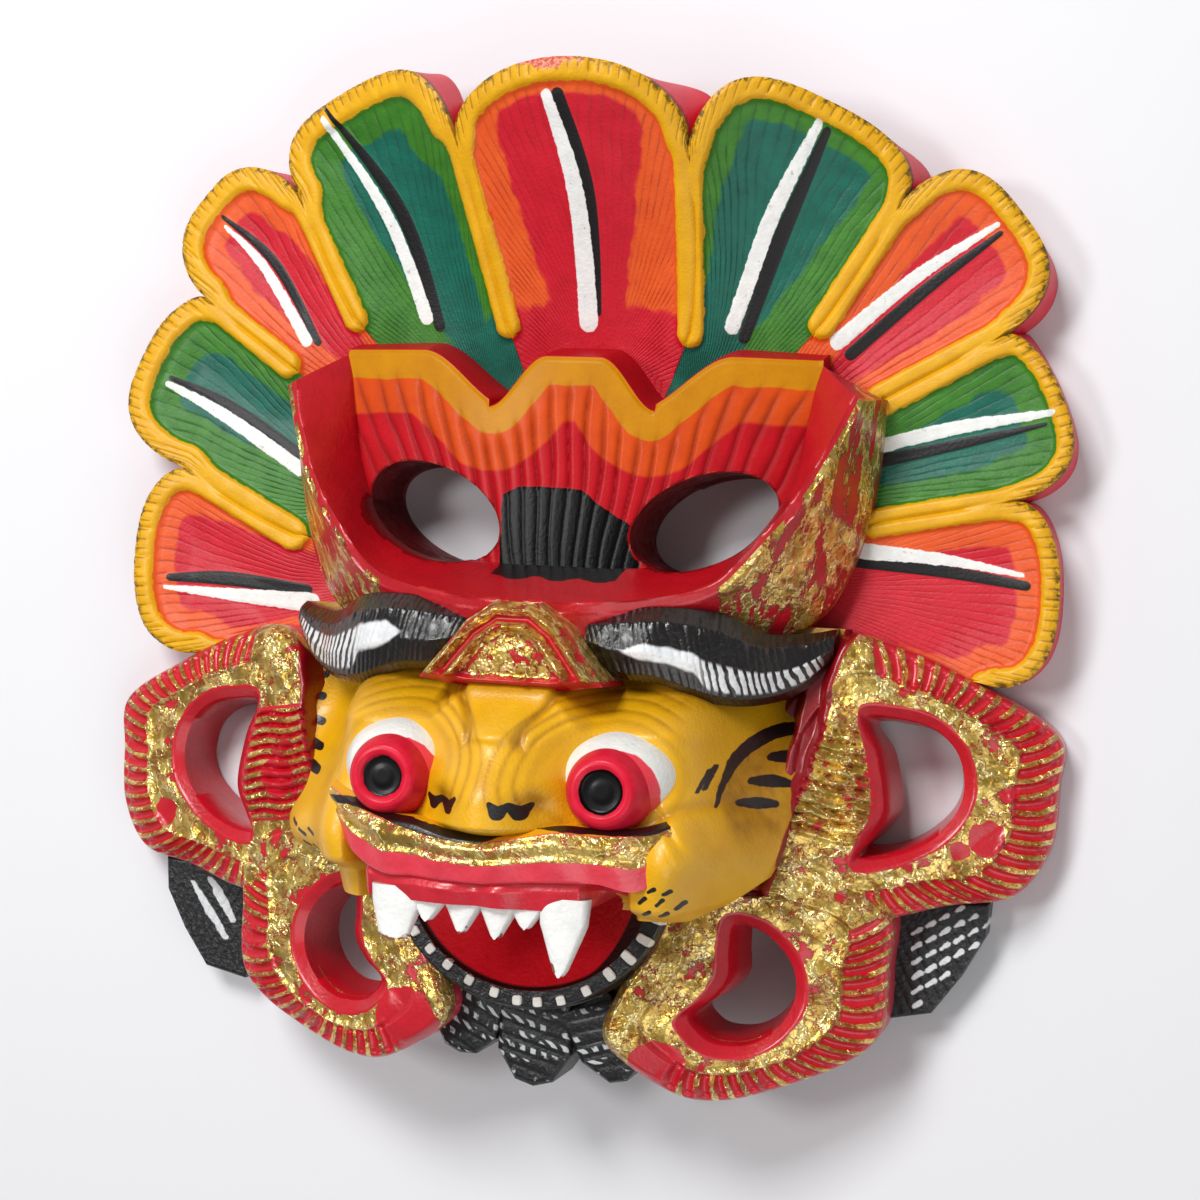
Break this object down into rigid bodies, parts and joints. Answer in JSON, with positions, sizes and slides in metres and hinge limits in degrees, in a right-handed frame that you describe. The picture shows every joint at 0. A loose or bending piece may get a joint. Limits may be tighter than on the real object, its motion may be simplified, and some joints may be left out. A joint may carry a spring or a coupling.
{
  "type": "barong mask",
  "caption": "Carved wooden wall mask of a mythic beast with a petal crown, horned recess with sight holes, pierced ear ornaments and a hollow back.",
  "frame": {"origin": "on the flat back, behind the middle of the brow", "axes": "+Z out of the face, +Y towards the crown, +X towards the viewer's right; the mask lies on its back"},
  "size_m": [0.1466, 0.148, 0.0529],
  "materials": {
    "painted_wood": "carved light wood, hand painted in satin-gloss red, yellow, orange, green, black and white, with gold leaf on the horns, jewel, lip and ear ornaments"
  },
  "bodies": {
    "root": {"mask": "painted_wood"}
  },
  "joints": []
}
